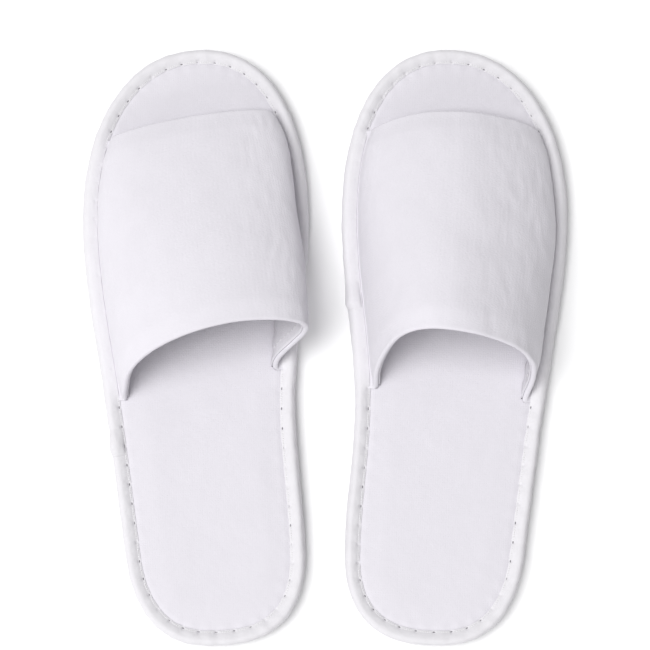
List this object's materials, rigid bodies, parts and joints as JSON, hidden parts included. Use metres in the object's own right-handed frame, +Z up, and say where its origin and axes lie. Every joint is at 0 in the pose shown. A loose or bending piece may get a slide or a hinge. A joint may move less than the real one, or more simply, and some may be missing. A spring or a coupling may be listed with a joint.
{
  "type": "spa slippers",
  "caption": "Pair of white open-toe spa slippers: flat foam soles with a bound, stitched edge and soft padded uppers over the forefoot.",
  "frame": {"origin": "centre of the pair's footprint, on the floor", "axes": "+Y towards the toes, +X towards the right slipper, +Z up"},
  "size_m": [0.2318, 0.2848, 0.0542],
  "materials": {
    "velour": "short cut pile, soft and matt",
    "lining": "smooth knit, matt",
    "binding": "folded tape, matt, puckered at each stitch",
    "thread": "twisted sewing thread",
    "insole_cloth": "brushed loop cloth, matt",
    "pad_foam": "soft open-cell foam",
    "sole_foam": "closed-cell foam with small grip dots"
  },
  "bodies": {
    "left_forefoot": {"left_outsole_forefoot": "sole_foam", "left_midsole_pad_forefoot": "pad_foam", "left_insole_cover_forefoot": "insole_cloth", "left_edge_binding_forefoot": "binding", "left_binding_thread_forefoot": "thread", "left_upper_cover": "velour", "left_upper_foam": "pad_foam", "left_upper_lining": "lining", "left_throat_seam": "thread", "left_toe_seam": "thread"},
    "left_heel": {"left_outsole_heel": "sole_foam", "left_midsole_pad_heel": "pad_foam", "left_insole_cover_heel": "insole_cloth", "left_edge_binding_heel": "binding", "left_binding_thread_heel": "thread"},
    "right_forefoot": {"right_outsole_forefoot": "sole_foam", "right_midsole_pad_forefoot": "pad_foam", "right_insole_cover_forefoot": "insole_cloth", "right_edge_binding_forefoot": "binding", "right_binding_thread_forefoot": "thread", "right_upper_cover": "velour", "right_upper_foam": "pad_foam", "right_upper_lining": "lining", "right_throat_seam": "thread", "right_toe_seam": "thread"},
    "right_heel": {"right_outsole_heel": "sole_foam", "right_midsole_pad_heel": "pad_foam", "right_insole_cover_heel": "insole_cloth", "right_edge_binding_heel": "binding", "right_binding_thread_heel": "thread"}
  },
  "joints": [
    {"name": "left_sole_flex", "type": "hinge", "parent": "left_forefoot", "child": "left_heel", "pos_m": [-0.05484, -0.03248, 0.0114], "axis": [-0.9994, -0.0349, 0], "range_deg": [0, 60], "stiffness_Nm_per_rad": 0.1},
    {"name": "right_sole_flex", "type": "hinge", "parent": "right_forefoot", "child": "right_heel", "pos_m": [0.05484, -0.03248, 0.0114], "axis": [-0.9994, 0.0349, 0], "range_deg": [0, 60], "stiffness_Nm_per_rad": 0.1},
    {"name": "right_slipper_lift", "type": "slide", "parent": "left_forefoot", "child": "right_forefoot", "axis": [0, 0, 1], "range_m": [0, 0.15]}
  ]
}
